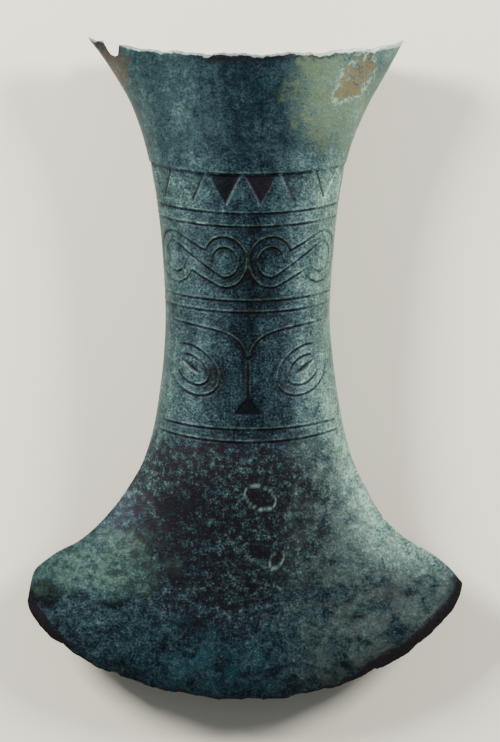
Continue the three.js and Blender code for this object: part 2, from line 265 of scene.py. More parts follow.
@dataclass
class Form:
    """The skin and the hollow of the casting, as points for a turn about its axis and a station."""

    mouth: float = 156.0
    cutting_edge: float = -165.8
    waist: float = 20.0
    blade_start: float = -25.0
    bow_flatness: float = 0.3
    side_edge: float = 1.4
    hollow_end: float = -130.0
    neck_half_width: float = 42.8
    neck_half_depth: float = 28.0
    lying_tilt: float = 1.25
    worn_flat: float = 0.9
    left_side: Table = (
        (166, 80.3), (149, 68.2), (130, 57.6), (108, 50.6), (85, 45.8), (57, 42.6), (27, 41.2), (0, 42.8),
        (-24, 46), (-44, 51.4), (-60, 60), (-75, 71.6), (-86, 84), (-93, 97), (-102, 107), (-116, 110.2))
    right_side: Table = (
        (166, 79.5), (149, 70), (130, 59.4), (108, 50.8), (85, 45.6), (57, 42.6), (27, 41), (0, 43.2),
        (-24, 46.6), (-44, 51.6), (-60, 59), (-75, 68), (-85, 79), (-93, 92.5), (-100, 101), (-107, 107.2))
    depths: Table = (
        (156, 32, 1.3), (120, 29.6, 1.15), (80, 28, 1.02), (20, 27.6, 1), (-25, 27.8, 1.05),
        (-50, 27, 1.2), (-85, 20.2, 1.55), (-125, 10.4, 1.7), (-150, 4.4, 1.6), (-165.8, 0.9, 1))
    hollow: Table = (
        (156, 74.5, 29.8), (135, 61, 28.3), (105, 47.6, 26.4), (70, 41, 25.2), (20, 38.3, 24.9),
        (-25, 41.2, 25), (-55, 46, 22.6), (-85, 52, 16), (-115, 54, 9), (-130, 44, 5.2))
    rise_left: tuple[float, ...] = (10.0, 7.2, 50.3, 1.15)
    rise_right: tuple[float, ...] = (8.0, 7.2, 58.8, 1.2)
    place: np.ndarray = field(default_factory=lambda: np.zeros(3))

    def rise(self, right: np.ndarray, station: np.ndarray) -> np.ndarray:
        """How far the end of a section rises above its station.

        Args:
            right: Whether each point is on the +X side.
            station: Each point's station.

        Returns:
            The rise of the section's end on that side.
        """
        parts = []
        for mouth, waist, edge, blade in (self.rise_left, self.rise_right):
            up = np.clip((station - self.waist) / (self.mouth - self.waist), 0, 1)
            down = np.clip((self.blade_start - station) / (self.blade_start - self.cutting_edge), 0, 1)
            parts.append(waist + (mouth - waist) * up ** 2 + (edge - waist) * down ** blade)
        return np.where(right, parts[1], parts[0])

    def half_width(self, right: np.ndarray, height: np.ndarray) -> np.ndarray:
        """Half-width of the silhouette on each side at a height."""
        return np.where(right, along(self.right_side, height, 1), along(self.left_side, height, 1))

    def bow(self, share: np.ndarray) -> np.ndarray:
        """The bow of a section between the axis, 0, and its end, 1."""
        rounded = 1 - np.sqrt(np.clip(1 - share * share, 0, 1))
        return self.bow_flatness * share * share + (1 - self.bow_flatness) * rounded

    def crown(self, turn: np.ndarray, half_depth: np.ndarray, sharp: np.ndarray) -> np.ndarray:
        """Depth of a section at a turn about the axis.

        Args:
            turn: 0 on the axis of the ornamented face, and a quarter turn at +X.
            half_depth: The section's depth on the axis.
            sharp: 1 for an ellipse and 2 for a lens.

        Returns:
            The depth at each turn.
        """
        level = np.cos(turn)
        size = np.abs(level)
        edge = np.minimum(self.side_edge, half_depth)
        return np.sign(level) * ((half_depth - edge) * size ** sharp + edge * size)

    def skin(self, turn: np.ndarray, station: np.ndarray) -> np.ndarray:
        """Points of the outer skin, before the casting is laid down.

        Args:
            turn: 0 on the axis of the ornamented face, and a quarter turn at +X.
            station: Where the section crosses that axis.

        Returns:
            One point for each pair.
        """
        turn, station = np.broadcast_arrays(np.asarray(turn, float), np.asarray(station, float))
        right = np.sin(turn) >= 0
        rise = self.rise(right, station)
        width = self.half_width(right, station + rise)
        depth = self.crown(turn, along(self.depths, station, 1), along(self.depths, station, 2))
        bowed = station + rise * self.bow(np.abs(np.sin(turn)))
        return np.stack([np.sin(turn) * width, bowed, depth], axis=-1)

    def inner(self, turn: np.ndarray, station: np.ndarray) -> np.ndarray:
        """Points of the socket's hollow on the same sections.

        Args:
            turn: 0 on the axis of the ornamented face, and a quarter turn at +X.
            station: Where the section crosses that axis.

        Returns:
            One point for each pair.
        """
        turn, station = np.broadcast_arrays(np.asarray(turn, float), np.asarray(station, float))
        right = np.sin(turn) >= 0
        rise = self.rise(right, station)
        width = along(self.hollow, station, 1)
        share = np.minimum(1, width * np.abs(np.sin(turn)) / self.half_width(right, station + rise))
        depth = self.crown(turn, along(self.hollow, station, 2), along(self.depths, station, 2))
        return np.stack([np.sin(turn) * width, station + rise * self.bow(share), depth], axis=-1)

    def normal(self, turn: np.ndarray, station: np.ndarray) -> np.ndarray:
        """The outward direction of the skin.

        Args:
            turn: 0 on the axis of the ornamented face, and a quarter turn at +X.
            station: Where the section crosses that axis.

        Returns:
            One direction for each pair.
        """
        here = self.skin(turn, station)
        across = self.skin(np.asarray(turn) + 0.01, station) - here
        upward = self.skin(turn, np.asarray(station) + 0.1) - here
        return unit(np.cross(across, upward))

    def turn_at(self, arc: np.ndarray) -> np.ndarray:
        """The turn for an arc length from the front's axis, measured round the neck.

        Args:
            arc: Arc lengths, below 0 towards -X.

        Returns:
            The turn for each arc length.
        """
        turns = np.radians(np.arange(0, 201.0))
        middle = (turns[1:] + turns[:-1]) / 2
        speed = np.hypot(self.neck_half_width * np.cos(middle), self.neck_half_depth * np.sin(middle))
        arcs = np.concatenate([[0.0], np.cumsum(speed * math.radians(1))])
        return np.sign(arc) * np.interp(np.abs(arc), arcs, turns)

    def half_girth(self) -> float:
        """Arc length from the front's axis to the back's."""
        turns = np.radians(np.arange(0.5, 180.0))
        speed = np.hypot(self.neck_half_width * np.cos(turns), self.neck_half_depth * np.sin(turns))
        return float(np.sum(speed) * math.radians(1))

    def settle(self) -> None:
        """Finds the shift that sets the tilted casting in the frame's box."""
        turns, stations = np.meshgrid(np.linspace(-math.pi, math.pi, 241),
                                      np.linspace(self.cutting_edge, self.mouth, 301))
        points = self.tilt(self.skin(turns, stations).reshape(-1, 3))
        low, high = points.min(axis=0), points.max(axis=0)
        cad_low, cad_high = (np.array(corner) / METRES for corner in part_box("axe_head"))
        middle = (cad_low + cad_high) / 2 - (low + high) / 2
        self.place = np.array([middle[0], middle[1], -low[2] - self.worn_flat])

    def tilt(self, points: np.ndarray) -> np.ndarray:
        """The points turned on to the casting's back.

        Args:
            points: Points of the upright casting.

        Returns:
            The turned points.
        """
        angle = math.radians(self.lying_tilt)
        turned = points.copy()
        turned[..., 1] = points[..., 1] * math.cos(angle) - points[..., 2] * math.sin(angle)
        turned[..., 2] = points[..., 1] * math.sin(angle) + points[..., 2] * math.cos(angle)
        return turned

    def laid(self, points: np.ndarray) -> np.ndarray:
        """The points where they lie in the frame, in millimetres."""
        return self.tilt(points) + self.place


def placed(name: str, data: bpy.types.ID) -> bpy.types.Object:
    """A new object of the scene, at the origin."""
    made = bpy.data.objects.new(name, data)
    bpy.context.scene.collection.objects.link(made)
    return made


def mesh_object(name: str, points: np.ndarray, faces: Iterable[Sequence[int]],
                edges: Iterable[Sequence[int]] = ()) -> bpy.types.Object:
    """Makes an object at the origin from points in millimetres.

    Args:
        name: The object's name.
        points: Its points in the frame.
        faces: Its faces, as point numbers.
        edges: Its loose edges, as point numbers.

    Returns:
        The object, linked to the scene.
    """
    mesh = bpy.data.meshes.new(name)
    mesh.from_pydata((points * METRES).tolist(), [tuple(edge) for edge in edges],
                     [tuple(face) for face in faces])
    mesh.update()
    return placed(name, mesh)


def plain_copy(source: bpy.types.Object, name: str) -> bpy.types.Object:
    """The evaluated object as a plain mesh of its own, with the source removed.

    Args:
        source: The object with its modifiers.
        name: The new object's name.

    Returns:
        The new object.
    """
    graph = bpy.context.evaluated_depsgraph_get()
    graph.update()
    mesh = bpy.data.meshes.new_from_object(source.evaluated_get(graph), preserve_all_data_layers=True,
                                           depsgraph=graph)
    mesh.name = name
    for modifier in list(source.modifiers):
        source.modifiers.remove(modifier)
    bpy.data.objects.remove(source)
    return placed(name, mesh)


# ---- Ornament ---------------------------------------------------------------------------------

@dataclass
class Ornament:
    """The cast lines and sunk marks, as strokes and patches that lie on the skin."""

    form: Form
    round_bands: tuple[float, ...] = (96.6, 77, 70.4, 33.4, 27.8)
    front_bands: tuple[float, ...] = (-30.6, -36.8)
    front_band_half: float = 46.0
    tooth_count: int = 14
    tooth_first: float = 5.8
    tooth_width: float = 13.6
    tooth_top: float = 95.2
    tooth_tip: float = 81.0
    scroll_near: float = 11.6
    scroll_far: float = 39.6
    scroll_station: float = 52.4
    curl_outer: tuple[float, float] = (11, 12.6)
    curl_inner: tuple[float, float] = (6.7, 7.4)
    brow: Table = ((42, 20.4), (26, 19.4), (18.6, 18.6), (11.6, 17), (5.4, 13.8), (1.9, 9), (0.5, 4.4))
    nose_top: float = 5.0
    nose_bottom: float = -16.0
    nose_width: float = 1.5
    nose_base: float = -23.6
    nose_base_half: float = 6.6
    eye_across: float = 29.2
    eye_station: float = -2.6
    eye_tilt: float = 28.0
    eye_rings: Table = ((15.6, 11.2, 45, 328), (9.6, 6.4, 40, 312))
    slit_length: float = 10.6
    slit_width: float = 1.9
    spacer_marks: Table = ((6.2, -65.2, 8.4, 5.3), (14.4, -97, 3.1, 4.6))
    spacer_tilt: float = -30.0

    def oval(self, across: float, station: float, wide: float, high: float, start: float, end: float,
             tilt: float = 0.0, steps: int = 48) -> Path:
        """Points on an oval between two angles in degrees, turned by a tilt.

        Args:
            across: The middle's place across.
            station: The middle's station.
            wide: Half of its width.
            high: Half of its height.
            start: The first angle.
            end: The last angle.
            tilt: How far the oval is turned, in degrees.
            steps: How many steps it takes.

        Returns:
            The points in order.
        """
        lean = math.radians(tilt)
        path = []
        for angle in np.radians(np.linspace(start, end, steps + 1)):
            a, b = wide * math.cos(angle), high * math.sin(angle)
            path.append((across + a * math.cos(lean) - b * math.sin(lean),
                         station + a * math.sin(lean) + b * math.cos(lean)))
        return path

    def smooth(self, knots: Sequence[tuple[float, float]], steps: int = 8) -> Path:
        """A smooth line through a few knots.

        Args:
            knots: The knots in order.
            steps: How many steps lie between two knots.

        Returns:
            The line.
        """
        rows = [np.array(knot, dtype=float) for knot in knots]
        rows = [2 * rows[0] - rows[1], *rows, 2 * rows[-1] - rows[-2]]
        path = []
        for a, b, c, d in zip(rows, rows[1:], rows[2:], rows[3:]):
            for t in np.linspace(0, 1, steps, endpoint=False):
                point = 0.5 * (2 * b + (c - a) * t + (2 * a - 5 * b + 4 * c - d) * t * t
                               + (3 * b - a - 3 * c + d) * t ** 3)
                path.append((float(point[0]), float(point[1])))
        path.append((float(rows[-2][0]), float(rows[-2][1])))
        return path

    def scroll(self) -> list[Path]:
        """The three lines of the S-shaped scroll on the +X side.

        Returns:
            The two outer lines and the inner one, which runs through both curls.
        """
        near, far, station = self.scroll_near, self.scroll_far, self.scroll_station
        wide, high = self.curl_outer
        meet = math.radians(25)
        ring = self.oval(near, station, wide, high, 25, 290, steps=22)
        outer = self.smooth([*ring, (far - wide * math.cos(meet), station - high * math.sin(meet))], 3)
        inner = self.oval(near, station, *self.curl_inner, 0, 290, steps=22)

        def swung(path: Path) -> Path:
            """The path turned half round the scroll's middle."""
            return [(near + far - arc, 2 * station - at) for arc, at in reversed(path)]
        return [outer, swung(outer), self.smooth([*inner, *swung(inner)], 3)]

    def eyes(self) -> list[Path]:
        """The rings of the eye on the +X side."""
        return [self.oval(self.eye_across, self.eye_station, long, short, start, end, self.eye_tilt)
                for long, short, start, end in self.eye_rings]

    def strokes(self) -> list[Path]:
        """Every cast line as arc lengths and stations.

        Returns:
            One path for each line.
        """
        half = self.form.half_girth()
        around = np.linspace(-half, half, 160)
        paths: list[Path] = [[(float(arc), band) for arc in around] for band in self.round_bands]
        front = np.linspace(-self.front_band_half, self.front_band_half, 70)
        paths += [[(float(arc), band) for arc in front] for band in self.front_bands]
        right = [*self.scroll(), self.smooth(self.brow), *self.eyes()]
        return paths + right + [[(-arc, station) for arc, station in path] for path in right]

    def teeth(self) -> list[Path]:
        """The hanging triangles of the saw-tooth row.

        Returns:
            The three corners of each tooth.
        """
        half_girth = self.form.half_girth()
        found = []
        for i in range(self.tooth_count):
            arc = self.tooth_first + 2 * half_girth / self.tooth_count * i
            arc = arc - 2 * half_girth if arc > half_girth else arc
            half = self.tooth_width / 2
            found.append([(arc - half, self.tooth_top), (arc, self.tooth_tip), (arc + half, self.tooth_top)])
        return found

    def face_marks(self) -> list[Path]:
        """The nose with its base and the two eye slits, as four-cornered or three-cornered patches.

        Returns:
            The corners of each patch.
        """
        half = self.nose_width / 2
        marks = [
            [(-half, self.nose_bottom), (half, self.nose_bottom), (half * 0.5, self.nose_top),
             (-half * 0.5, self.nose_top)],
            [(-self.nose_base_half, self.nose_base), (self.nose_base_half, self.nose_base),
             (0, self.nose_bottom + 1.5)],
        ]
        lean = math.radians(self.eye_tilt)
        along_eye = np.array([math.cos(lean), math.sin(lean)])
        aside = np.array([-math.sin(lean), math.cos(lean)]) * self.slit_width / 2
        middle = np.array([self.eye_across + 1, self.eye_station + 1])
        reach = along_eye * self.slit_length / 2
        slit = [tuple(middle - reach), tuple(middle - reach * 0.2 - aside), tuple(middle + reach),
                tuple(middle - reach * 0.2 + aside)]
        return [*marks, slit, [(-arc, station) for arc, station in slit]]

    def spacers(self) -> list[np.ndarray]:
        """The rims of the two core spacers' marks, as points of the skin.

        Returns:
            One ring of points for each mark.
        """
        rims = []
        for across, station, wide, high in self.spacer_marks:
            path = np.array(self.oval(across, station, wide, high, 0, 360, self.spacer_tilt))
            right = np.ones(len(path), dtype=bool)
            width = self.form.half_width(right, path[:, 1] + self.form.rise(right, path[:, 1]))
            rims.append(self.form.laid(self.form.skin(np.arcsin(path[:, 0] / width), path[:, 1])))
        return rims

    def dish_object(self) -> bpy.types.Object:
        """The floors of the two core spacers' marks, as fans of the skin.

        Returns:
            One object with both floors.
        """
        points, faces = [], []
        for rim in self.spacers():
            start = sum(len(part) for part in points)
            points.append(np.concatenate([rim, rim.mean(axis=0, keepdims=True)]))
            faces += [(start + i, start + i + 1, start + len(rim)) for i in range(len(rim) - 1)]
        return mesh_object("spacer_dishes", np.concatenate(points), faces)

    def on_skin(self, path: Path) -> np.ndarray:
        """A path of arc lengths and stations as points in the frame."""
        rows = np.array(path)
        return self.form.laid(self.form.skin(self.form.turn_at(rows[:, 0]), rows[:, 1]))

    def stroke_object(self) -> bpy.types.Object:
        """All the cast lines as loose edges on the skin."""
        return self.edges_object("cast_lines", [self.on_skin(path) for path in self.strokes()])

    def edges_object(self, name: str, lines: list[np.ndarray]) -> bpy.types.Object:
        """Lines of points as one object of loose edges.

        Args:
            name: The object's name.
            lines: The lines' points in the frame.

        Returns:
            The object.
        """
        points = np.concatenate(lines)
        edges, start = [], 0
        for line in lines:
            edges += [(start + i, start + i + 1) for i in range(len(line) - 1)]
            start += len(line)
        return mesh_object(name, points, [], edges)

    def patch_object(self, name: str, outlines: list[Path], steps: int = 8) -> bpy.types.Object:
        """Three-cornered and four-cornered outlines as fine patches on the skin.

        Args:
            name: The object's name.
            outlines: Corners as arc lengths and stations, in order.
            steps: How many rows and columns each patch has.

        Returns:
            One object with all the patches.
        """
        points, faces = [], []
        for outline in outlines:
            corners = [np.array(corner) for corner in outline]
            a, b, c = corners[:3]
            d = corners[3] if len(corners) > 3 else c
            start = sum(len(part) for part in points)
            rows = [(a * (1 - u) + b * u) * (1 - v) + (d * (1 - u) + c * u) * v
                    for v in np.linspace(0, 1, steps + 1) for u in np.linspace(0, 1, steps + 1)]
            points.append(self.on_skin([tuple(row) for row in rows]))
            for r in range(steps):
                for k in range(steps):
                    at = start + r * (steps + 1) + k
                    faces.append((at, at + 1, at + steps + 2, at + steps + 1))
        return mesh_object(name, np.concatenate(points), faces)


@dataclass
class ReliefTree:
    """A Geometry Nodes tree that raises the cast lines and sinks the marks along the skin."""

    line_half: float = 0.8
    line_height: float = 0.36
    line_groove: float = 0.22
    sink_depth: float = 0.65
    sink_slope: float = 0.55
    spacer_half: float = 0.7
    spacer_height: float = 0.3
    spacer_dish: float = 0.4
    pit_depth: float = 0.12
    dent_depth: float = 0.5
    seed: int = 7
    sockets: dict[str, str] = field(default_factory=dict)

    def sizes(self) -> dict[str, float]:
        """The tree's sizes in millimetres, by the names of its inputs."""
        return {entry.name.replace("_", " "): getattr(self, entry.name) for entry in fields(self)
                if entry.name not in ("seed", "sockets")}

    def build(self) -> bpy.types.NodeTree:
        """Makes the tree with its named inputs.

        Returns:
            The tree.
        """
        tree = bpy.data.node_groups.new("cast_relief", "GeometryNodeTree")
        tree.is_modifier = True
        made = [("Geometry", "NodeSocketGeometry"), ("Material", "NodeSocketMaterial"), ("Seed", "NodeSocketInt")]
        made += [(name, "NodeSocketObject") for name in ("Lines", "Marks", "Spacers", "Dishes")]
        made += [(name, "NodeSocketFloat") for name in self.sizes()]
        for name, kind in made:
            socket = tree.interface.new_socket(name=name, in_out="INPUT", socket_type=kind)
            self.sockets[name] = socket.identifier
        tree.interface.new_socket(name="Geometry", in_out="OUTPUT", socket_type="NodeSocketGeometry")
        bench = Bench(tree)
        given = bench.node("NodeGroupInput").outputs
        here = bench.level("GeometryNodeInputPosition")
        place = bench.scaled(here, 1.0 / METRES)
        seed = Level(bench, given["Seed"])
        normal = bench.level("GeometryNodeInputNormal")
        tangent = bench.level("ShaderNodeVectorMath", {"operation": "CROSS_PRODUCT"}, {0: (0, 1, 0), 1: normal})

        def away(source: str, element: str, aside: tuple[float, float] = (0, 0)) -> Level:
            """Millimetres to an input object, read a little aside: round the skin, and along Y."""
            shape = bench.node("GeometryNodeObjectInfo", {"transform_space": "ORIGINAL"}, {0: given[source]})
            at = bench.moved(here, bench.scaled(tangent, aside[0] * METRES))
            at = bench.moved(at, (0, aside[1] * METRES, 0))
            return bench.level("GeometryNodeProximity", {"target_element": element},
                               {0: shape.outputs["Geometry"], "Sample Position": at}, "Distance") * (1.0 / METRES)

        size = {name: Level(bench, given[name]) for name in self.sizes()}
        half, slope, spacer = size["line half"], size["sink slope"], size["spacer half"]
        skin_only = bench.attribute("skin")
        # Masks for the patina: the ones below and above the cast lines place its painted shade and painted
        # highlight, and the walls its painted shade in the teeth.
        masks = {
            "line": 1.0 - (away("Lines", "EDGES") / half).step(0.0, 1.0),
            "under": 1.0 - (away("Lines", "EDGES", (0, 0.7)) / (half * 1.45)).step(0.0, 1.0),
            "over": 1.0 - (away("Lines", "EDGES", (0, -0.7)) / (half * 0.9)).step(0.1, 1.0),
            "halo": 1.0 - (away("Lines", "EDGES", (0, 0.9)) / 3.6).step(0.0, 1.0),
            "sunk": 1.0 - (away("Marks", "FACES") / slope).step(0.0, 1.0),
            "wall_right": 1.0 - (away("Marks", "FACES", (-1.3, 0)) / slope).step(0.0, 1.0),
            "wall_left": 1.0 - (away("Marks", "FACES", (1.3, 0)) / slope).step(0.0, 1.0),
            "rim": 1.0 - (away("Spacers", "EDGES") / spacer).step(0.0, 1.0),
            "dish": 1.0 - (away("Dishes", "FACES") / spacer).step(0.0, 1.0),
        }
        moved = given["Geometry"]
        for name, level in masks.items():
            moved = bench.node("GeometryNodeStoreNamedAttribute", {"data_type": "FLOAT", "domain": "POINT"},
                               {"Geometry": moved, "Name": name, "Value": level * skin_only}).outputs[0]
        line, under, sunk, rim, dish = (bench.attribute(name) for name in ("line", "under", "sunk", "rim", "dish"))
        wear = bench.noise(place, 9.0, 2.0, shift=3.0).step(0.36, 0.6)
        pits = bench.noise(place + seed, 2.6, 3.0, 0.6)
        dents = bench.noise(place + seed, 30.0, 2.0, 0.5, shift=11.0)
        strength = bench.attribute("station").step(94.5, 91.0) * 0.8 + 0.2
        height = (line * size["line height"] * (0.45 + 0.55 * wear) * strength
                  - under * size["line groove"] * strength
                  + rim * size["spacer height"] - dish * size["spacer dish"]
                  - sunk * size["sink depth"] * (0.75 + 0.25 * wear)
                  + (pits - 0.5) * size["pit depth"] * 2.0
                  + (dents - 0.5) * size["dent depth"] * 2.0)
        push = bench.scaled(normal, height * skin_only * METRES)
        moved = bench.node("GeometryNodeSetPosition", {}, {"Geometry": moved, "Offset": push}).outputs[0]
        whole = bench.node("GeometryNodeRealizeInstances", {}, {"Geometry": moved}).outputs[0]
        dressed = bench.node("GeometryNodeSetMaterial", {}, {"Geometry": whole, "Material": given["Material"]})
        bench.node("NodeGroupOutput", {}, {0: dressed.outputs[0]})
        return tree

    def attach(self, piece: bpy.types.Object, guides: dict[str, bpy.types.Object],
               material: bpy.types.Material) -> None:
        """Puts the tree on a piece and sets its inputs by their identifiers.

        Args:
            piece: The blank casting.
            guides: The objects that lie on the skin where the relief goes, by the inputs' names.
            material: The patina.
        """
        tree = self.build()
        modifier = piece.modifiers.new("cast_relief", "NODES")
        modifier.node_group = tree
        for name, value in {**guides, **self.sizes(), "Seed": self.seed, "Material": material}.items():
            modifier[self.sockets[name]] = value


# ---- The casting ------------------------------------------------------------------------------

@dataclass
class Casting:
    """The axe head as one closed mesh: skin, lip and hollow, with its relief and its wear."""

    form: Form
    ornament: Ornament
    relief: ReliefTree
    fine: float = 0.62
    rear_step: float = 2.6
    blade_step: float = 1.5
    collar_step: float = 1.3
    ornament_top: float = 99.5
    ornament_bottom: float = -39.5
    hollow_rows: int = 26
    edge_waver: float = 0.35
    notch: tuple[tuple[float, float], ...] = (
        (-76.0, 9.0), (-73.2, 4.6), (-71.5, 1.5), (-70.0, -1.4), (-68.2, -3.8), (-66.2, -4.6), (-64.9, -4.1),
        (-64.4, 0.4), (-64.0, 4.4), (-63.3, 9.0))
    chips: Table = ((-43, 12, 1.0), (-20, 8, 0.8), (9, 10, 0.7), (36, 9, 0.9), (63, 6, 0.8))
    nicks: Table = ((-92, 5, 0.9), (-66, 7, 1.2), (-55, 6, 1.7), (-31, 5, 0.8), (24, 6, 0.8), (62, 7, 1.2),
                    (84, 5, 0.9))

    def columns(self) -> np.ndarray:
        """Turns of the columns, fine over the ornamented face and coarse behind.

        Returns:
            One turn for each column.
        """
        half = self.form.half_girth()
        front = half / 2 + 4
        ahead = np.linspace(-front, front, int(2 * front / self.fine) + 1)
        rear_count = int((2 * half - 2 * front) / self.rear_step) + 1
        behind = np.linspace(front, 2 * half - front, rear_count)[1:-1]
        turns = [float(self.form.turn_at(np.array(arc))) for arc in ahead]
        turns += [float(2 * math.pi + self.form.turn_at(np.array(arc - 2 * half))) if arc > half
                  else float(self.form.turn_at(np.array(arc))) for arc in behind]
        return np.array(turns)

    def rows(self) -> np.ndarray:
        """Stations of the skin's rows from the cutting edge up to the mouth.

        Returns:
            One station for each row.
        """
        def spaced(low: float, high: float, step: float) -> np.ndarray:
            """Even stations from low up to, but without, high."""
            return np.linspace(low, high, max(1, round((high - low) / step)), endpoint=False)
        edge, mouth = self.form.cutting_edge, self.form.mouth
        return np.concatenate([
            spaced(edge, edge + 3, 0.6), spaced(edge + 3, self.ornament_bottom, self.blade_step),
            spaced(self.ornament_bottom, self.ornament_top, self.fine),
            spaced(self.ornament_top, mouth - 1.2, self.collar_step), [mouth - 1.2, mouth - 0.4]])

    def waver(self, across: np.ndarray, share: np.ndarray) -> np.ndarray:
        """The uneven run of a hammered and worn edge, where the share is 1.

        Args:
            across: Places across.
            share: How fully the edge is worn at each place.

        Returns:
            The shift along Y at each place.
        """
        run = (np.sin(across * 0.21 + 1.3) + 0.7 * np.sin(across * 0.53 + 0.4) + 0.5 * np.sin(across * 1.13 + 2.2)
               + 0.35 * np.sin(across * 2.31))
        return run * self.edge_waver * share

    def bites(self, across: np.ndarray, marks: Table) -> np.ndarray:
        """How deep the chips or nicks reach at each place across: 0 where there is none.

        Args:
            across: Places across.
            marks: The middle, width and depth of each chip or nick.

        Returns:
            The depth at each place.
        """
        depth = np.zeros_like(across)
        for x, wide, deep in marks:
            share = np.clip(1 - np.abs(across - x) / (wide / 2), 0, 1)
            depth = np.maximum(depth, deep * share * share * (3 - 2 * share))
        return depth

    def zipped(self, turns: np.ndarray, start: int, outward: bool) -> list[tuple[int, int, int]]:
        """Triangles that close a ring, between its front and its back half.

        Args:
            turns: The ring's turns.
            start: Number of the ring's first point.
            outward: Whether the faces look towards the mouth.

        Returns:
            The triangles.
        """
        across = np.sin(turns)
        order = sorted(range(len(turns)), key=lambda k: across[k])
        front = [k for k in order if math.cos(turns[k]) >= 0]
        back = [k for k in order if math.cos(turns[k]) < 0]
        faces, f, b = [], 0, 0
        while f + 1 < len(front) or b + 1 < len(back):
            if b + 1 >= len(back) or (f + 1 < len(front) and across[front[f + 1]] <= across[back[b + 1]]):
                faces.append((front[f], front[f + 1], back[b]))
                f += 1
            else:
                faces.append((front[f], back[b + 1], back[b]))
                b += 1
        if not outward:
            faces = [(a, c, b2) for a, b2, c in faces]
        return [(start + a, start + b2, start + c) for a, b2, c in faces]

    def blank(self) -> bpy.types.Object:
        """The closed casting before its relief.

        Returns:
            The blank, with its skin, station and side attributes.
        """
        turns, stations = self.columns(), self.rows()
        count = len(turns)
        grid_turn, grid_station = np.meshgrid(turns, stations)
        skin = self.form.skin(grid_turn, grid_station)
        at_edge = eased(grid_station, -156.0, self.form.cutting_edge)
        at_rim = eased(grid_station, 146.0, self.form.mouth)
        skin[..., 1] += self.waver(skin[..., 0], at_edge) + self.bites(skin[..., 0], self.nicks) * at_edge
        skin[..., 1] += self.waver(skin[..., 0] + 40, at_rim) - self.bites(skin[..., 0], self.chips) * at_rim
        top_normal = self.form.normal(turns, np.full(count, self.form.mouth - 0.5))
        outer = self.form.skin(turns, np.full(count, self.form.mouth))
        inner = self.form.inner(turns, np.full(count, self.form.mouth))
        lift = self.waver(outer[:, 0] + 40, np.ones(count)) - self.bites(outer[:, 0], self.chips)
        lip = [outer + (inner - outer) * share + np.array([0, drop, 0]) for share, drop in
               ((0.2, 0.0), (0.5, 0.25), (0.85, 0.1))]
        skin[-1] -= top_normal * 0.12
        hollow = [self.form.inner(turns, np.full(count, station)) for station in
                  np.linspace(self.form.mouth - 0.6, self.form.hollow_end, self.hollow_rows)]
        for ring in lip:
            ring[:, 1] += lift
        rings = [*skin, *lip, *hollow]
        weights = np.repeat([1.0, 0.5, 0.0], [len(part) * count for part in (skin, lip, hollow)])
        faces = []
        for r in range(len(rings) - 1):
            for c in range(count):
                n = (c + 1) % count
                faces.append((r * count + c, r * count + n, (r + 1) * count + n, (r + 1) * count + c))
        faces += self.zipped(turns, 0, False)
        faces += self.zipped(turns, (len(rings) - 1) * count, True)
        blank = mesh_object("axe_blank", self.form.laid(np.concatenate(rings)), faces)
        inside = np.full((len(lip) + len(hollow)) * count, self.form.mouth)
        facts = {"skin": weights, "station": np.concatenate([np.repeat(stations, count), inside]),
                 "side": np.tile(np.abs(np.sin(turns)), len(rings))}
        for name, values in facts.items():
            blank.data.attributes.new(name, "FLOAT", "POINT").data.foreach_set("value", values)
        blank.data.polygons.foreach_set("use_smooth", [True] * len(blank.data.polygons))
        return blank

    def prism(self, outline: Sequence[tuple[float, float]]) -> tuple[np.ndarray, list[tuple[int, ...]]]:
        """An upright prism over an outline, long enough to pass through the casting.

        Args:
            outline: The outline's corners, in order.

        Returns:
            Its points in the frame, and its faces.
        """
        count = len(outline)
        points = np.array([(x, y, z) for z in (-60.0, 60.0) for x, y in outline])
        faces = [tuple(range(count - 1, -1, -1)), tuple(range(count, 2 * count))]
        faces += [(i, (i + 1) % count, count + (i + 1) % count, count + i) for i in range(count)]
        return self.form.laid(points), faces

    def cutter(self) -> bpy.types.Object:
        """The block that cuts the rim's notch."""
        points, faces = self.prism([(x, self.form.mouth + 4 + y) for x, y in self.notch])
        return mesh_object("notch_cutter", points, faces)

    def build(self, material: bpy.types.Material) -> bpy.types.Object:
        """Makes the casting, dressed.

        Args:
            material: The patina it wears.

        Returns:
            The finished piece.
        """
        blank = self.blank()
        marks = self.ornament.teeth() + self.ornament.face_marks()
        guides = {"Lines": self.ornament.stroke_object(), "Marks": self.ornament.patch_object("sunk_marks", marks),
                  "Spacers": self.ornament.edges_object("spacer_rims", self.ornament.spacers()),
                  "Dishes": self.ornament.dish_object()}
        self.relief.attach(blank, guides, material)
        raised = plain_copy(blank, "axe_raised")
        cutter = self.cutter()
        cut = raised.modifiers.new("wear", "BOOLEAN")
        cut.operation, cut.solver, cut.object = "DIFFERENCE", "MANIFOLD", cutter
        piece = plain_copy(raised, "axe_head_casting")
        for helper in (*guides.values(), cutter):
            bpy.data.objects.remove(helper)
        points = np.empty(len(piece.data.vertices) * 3)
        piece.data.vertices.foreach_get("co", points)
        points = points.reshape(-1, 3)
        points[:, 2] = np.maximum(points[:, 2], 0.0)
        piece.data.vertices.foreach_set("co", points.ravel())
        piece.data.materials.clear()
        piece.data.materials.append(material)
        piece.data.set_sharp_from_angle(angle=math.radians(50))
        piece.data.update()
        return piece


# ---- Finish -----------------------------------------------------------------------------------

